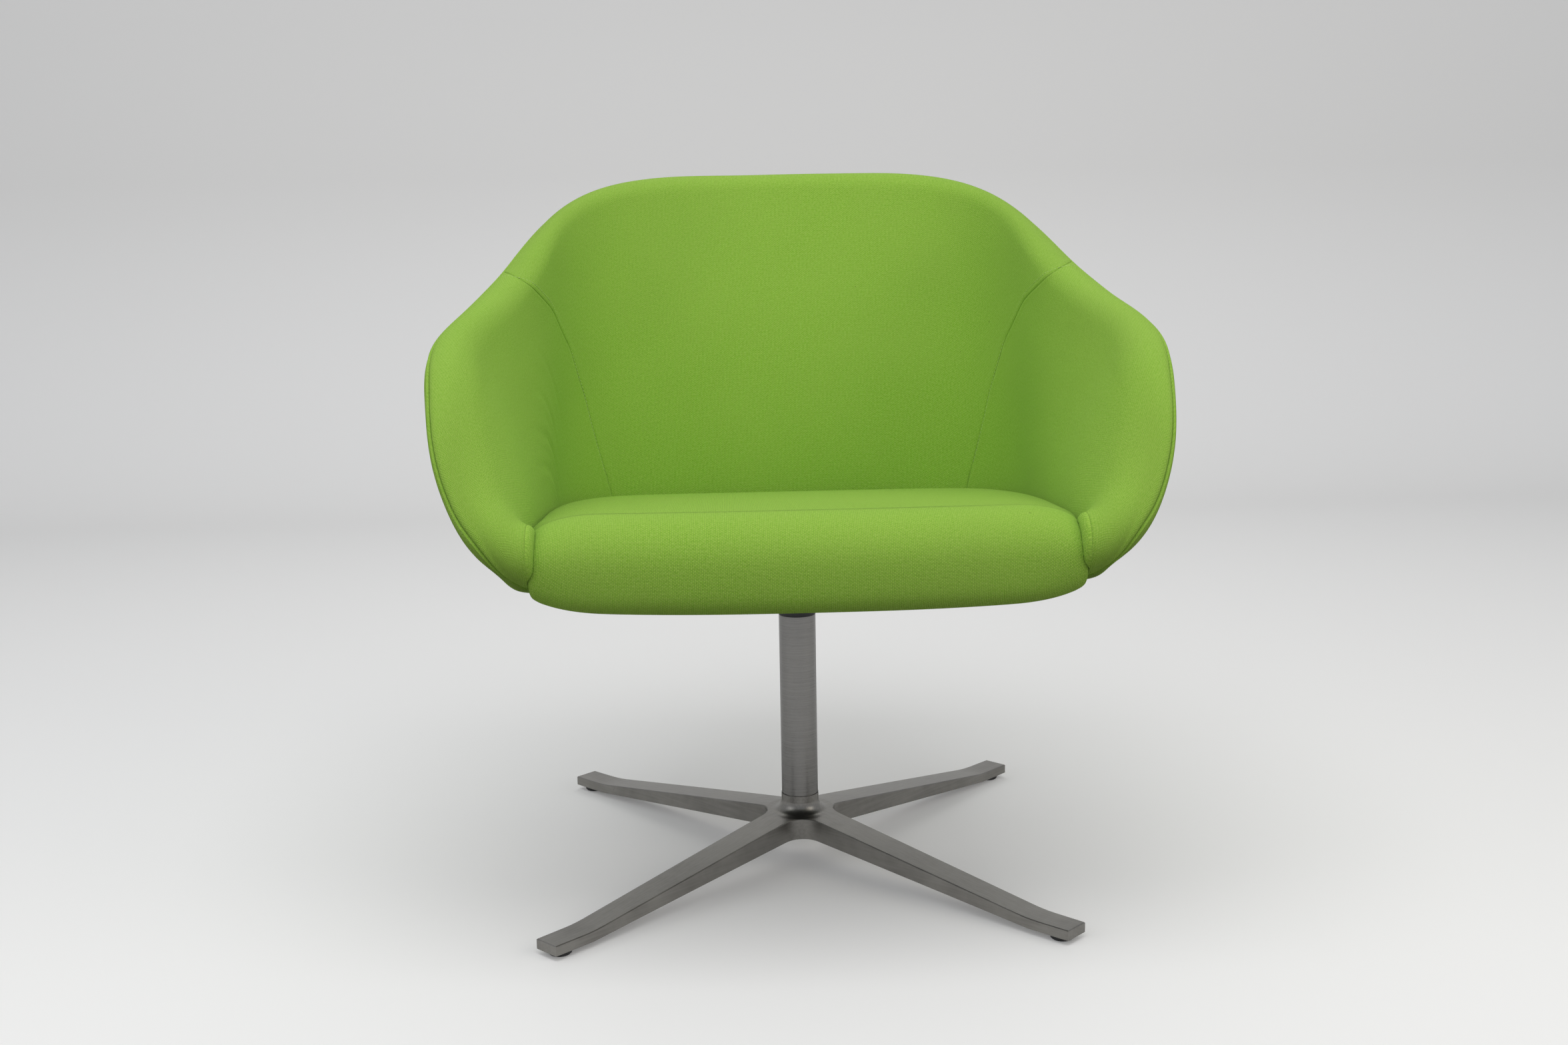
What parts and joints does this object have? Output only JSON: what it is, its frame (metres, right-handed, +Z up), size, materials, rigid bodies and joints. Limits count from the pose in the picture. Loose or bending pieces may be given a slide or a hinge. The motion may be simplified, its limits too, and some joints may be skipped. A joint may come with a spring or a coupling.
{
  "type": "swivel armchair",
  "caption": "Low upholstered bucket armchair whose fabric shell and loose seat cushion turn on a round column with a four-legged cast base.",
  "frame": {"origin": "on the floor, under the swivel axis, which is also the middle of the chair's width and depth", "axes": "+Z up along the swivel axis; the sitter faces -Y; +X is on the right as seen from the front, and left and right in the names follow that view"},
  "size_m": [0.7206, 0.671, 0.75],
  "materials": {
    "cast_aluminium": "satin",
    "brushed_tube": "satin",
    "steel": "satin",
    "black_metal": "satin",
    "black_plastic": "matte",
    "plywood": "matte",
    "foam": "matte",
    "green_cloth": "matte",
    "black_cloth": "matte"
  },
  "bodies": {
    "base": {"base_casting": "cast_aluminium", "glides": "black_plastic", "glide_studs": "steel", "column_tube": "brushed_tube", "column_plug": "steel", "hub_washer": "steel", "hub_bolt": "steel", "upper_bush": "black_plastic", "lower_bush": "black_plastic"},
    "seat": {"spindle": "steel", "retaining_ring": "steel", "swivel_hub": "black_metal", "mounting_plate": "black_metal", "plate_washers": "steel", "plate_bolts": "steel", "tee_nuts": "steel", "seat_board": "plywood", "board_screws": "steel", "shell_core": "plywood", "shell_foam": "foam", "cover_outer": "green_cloth", "cover_arm_left": "green_cloth", "cover_back": "green_cloth", "cover_arm_right": "green_cloth", "seat_cover": "green_cloth", "seat_foam": "foam", "dust_cover": "black_cloth"}
  },
  "joints": [
    {"name": "seat_swivel", "type": "hinge", "parent": "base", "child": "seat", "pos_m": [0, 0, 0.2781], "axis": [0, 0, 1], "continuous": true}
  ]
}
